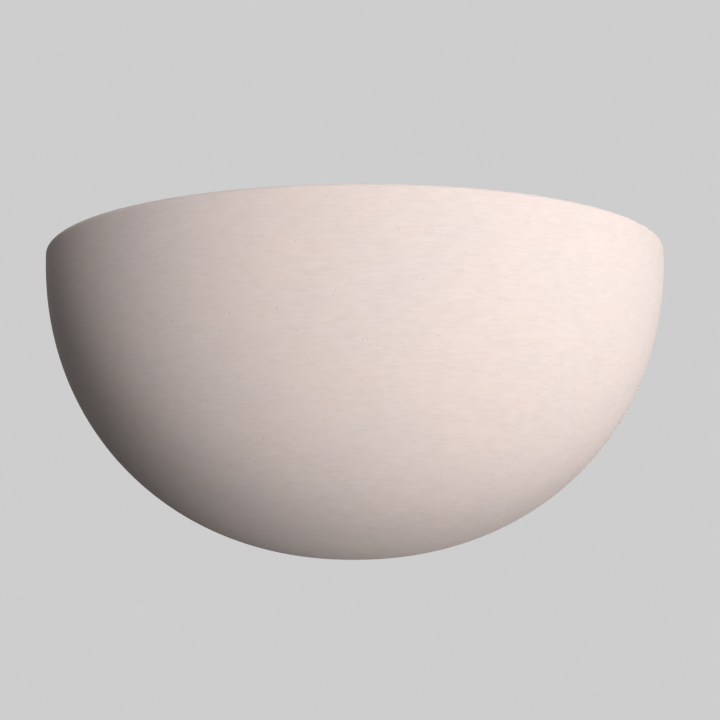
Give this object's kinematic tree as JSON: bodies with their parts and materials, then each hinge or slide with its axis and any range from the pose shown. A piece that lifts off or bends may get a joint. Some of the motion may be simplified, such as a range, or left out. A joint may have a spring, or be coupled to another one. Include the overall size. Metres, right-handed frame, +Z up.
{
  "type": "uplighter wall sconce",
  "caption": "Half-bowl uplighter wall light in unglazed ceramic, open at the top, on a slotted steel wall plate with a screw-in lamp in a horizontal lampholder.",
  "frame": {"origin": "on the wall plane, midway between the two fixing slots of the wall plate", "axes": "+Z up, +Y into the wall, +X to the right as seen from the room"},
  "size_m": [0.31, 0.12, 0.152],
  "materials": {
    "bisque_ceramic": "matt unglazed, off-white with a pink cast",
    "zinc_plated_steel": "zinc plated, satin",
    "aluminium_rivet": "satin",
    "brass": "plain turned brass",
    "tinned_copper": "tinned copper",
    "bare_copper": "bare copper strands",
    "black_rubber": "matt",
    "black_phenolic": "moulded thermoset, satin",
    "white_nylon": "moulded, satin",
    "steatite": "pressed steatite, matt",
    "lamp_cap_aluminium": "rolled, satin",
    "black_cap_glass": "opaque black glass insulator of the cap",
    "solder": "dull solder",
    "frosted_glass": "frosted inside, lit warm white",
    "clear_glass": "clear",
    "filament_wire": "glowing wire",
    "nickel_wire": "drawn wire",
    "brown_lead": "silicone insulation, satin",
    "blue_lead": "silicone insulation, satin",
    "green_yellow_lead": "silicone insulation, green with a yellow stripe"
  },
  "bodies": {
    "wall_frame": {"wall_plate": "zinc_plated_steel", "cable_grommet": "black_rubber", "lampholder_arm": "zinc_plated_steel", "arm_rivets": "aluminium_rivet", "lead_grommet": "black_rubber", "earth_screw": "brass", "earth_washer": "zinc_plated_steel", "earth_ring_terminal": "tinned_copper", "terminal_block": "white_nylon", "terminal_clamps": "brass", "terminal_screws": "zinc_plated_steel", "terminal_block_screw": "zinc_plated_steel", "holder_dome": "black_phenolic", "holder_skirt": "black_phenolic", "holder_insert": "steatite", "holder_thread_shell": "brass", "holder_terminals": "brass", "holder_terminal_screws": "zinc_plated_steel", "centre_contact_rivet": "brass", "holder_nipple": "zinc_plated_steel", "nipple_locknut": "zinc_plated_steel", "nipple_washer": "zinc_plated_steel", "nipple_bush": "white_nylon", "live_lead": "brown_lead", "neutral_lead": "blue_lead", "earth_lead": "green_yellow_lead", "conductor_ends": "bare_copper", "ear_pad_left": "black_rubber", "ear_pad_right": "black_rubber", "clinch_nut_left": "zinc_plated_steel", "clinch_nut_right": "zinc_plated_steel"},
    "bowl": {"ceramic_shell": "bisque_ceramic"},
    "contact": {"centre_contact": "brass"},
    "lamp_tip": {"lamp_tip_contact": "solder"},
    "lamp": {"lamp_cap": "lamp_cap_aluminium", "lamp_cap_insulator": "black_cap_glass", "lamp_envelope": "frosted_glass", "lamp_stem": "clear_glass", "lamp_filament": "filament_wire", "lamp_lead_wires": "nickel_wire", "lamp_support_wires": "nickel_wire"},
    "washer_left": {"thumb_washer_left": "zinc_plated_steel"},
    "screw_left": {"thumb_screw_left": "brass"},
    "washer_right": {"thumb_washer_right": "zinc_plated_steel"},
    "screw_right": {"thumb_screw_right": "brass"}
  },
  "joints": [
    {"name": "bowl_draw_off", "type": "slide", "parent": "wall_frame", "child": "bowl", "axis": [0, -1, 0], "range_m": [0, 0.15]},
    {"name": "lamp_advance", "type": "slide", "parent": "wall_frame", "child": "lamp_tip", "axis": [1, 0, 0], "range_m": [0, 0.0218]},
    {"name": "lamp_unscrew", "type": "hinge", "parent": "lamp_tip", "child": "lamp", "pos_m": [0, -0.062, 0.01], "axis": [1, 0, 0], "range_deg": [0, 2160]},
    {"name": "contact_flex", "type": "hinge", "parent": "wall_frame", "child": "contact", "pos_m": [-0.0497, -0.062, -0.002], "axis": [0, -1, 0], "range_deg": [0, 7], "stiffness_Nm_per_rad": 0.15, "springref_deg": -5.73},
    {"name": "left_screw_lift", "type": "slide", "parent": "wall_frame", "child": "washer_left", "axis": [0, 0, 1], "range_m": [0, 0.004]},
    {"name": "left_screw_turn", "type": "hinge", "parent": "washer_left", "child": "screw_left", "pos_m": [-0.109, -0.014, 0], "axis": [0, 0, 1], "range_deg": [0, 1800]},
    {"name": "right_screw_lift", "type": "slide", "parent": "wall_frame", "child": "washer_right", "axis": [0, 0, 1], "range_m": [0, 0.004]},
    {"name": "right_screw_turn", "type": "hinge", "parent": "washer_right", "child": "screw_right", "pos_m": [0.109, -0.014, 0], "axis": [0, 0, 1], "range_deg": [0, 1800]}
  ],
  "couplings": [
    {"joint": "lamp_advance", "follows": "lamp_unscrew", "m_per_rad": 0.00057757},
    {"joint": "left_screw_turn", "follows": "left_screw_lift", "rad_per_m": 7854},
    {"joint": "right_screw_turn", "follows": "right_screw_lift", "rad_per_m": 7854}
  ]
}
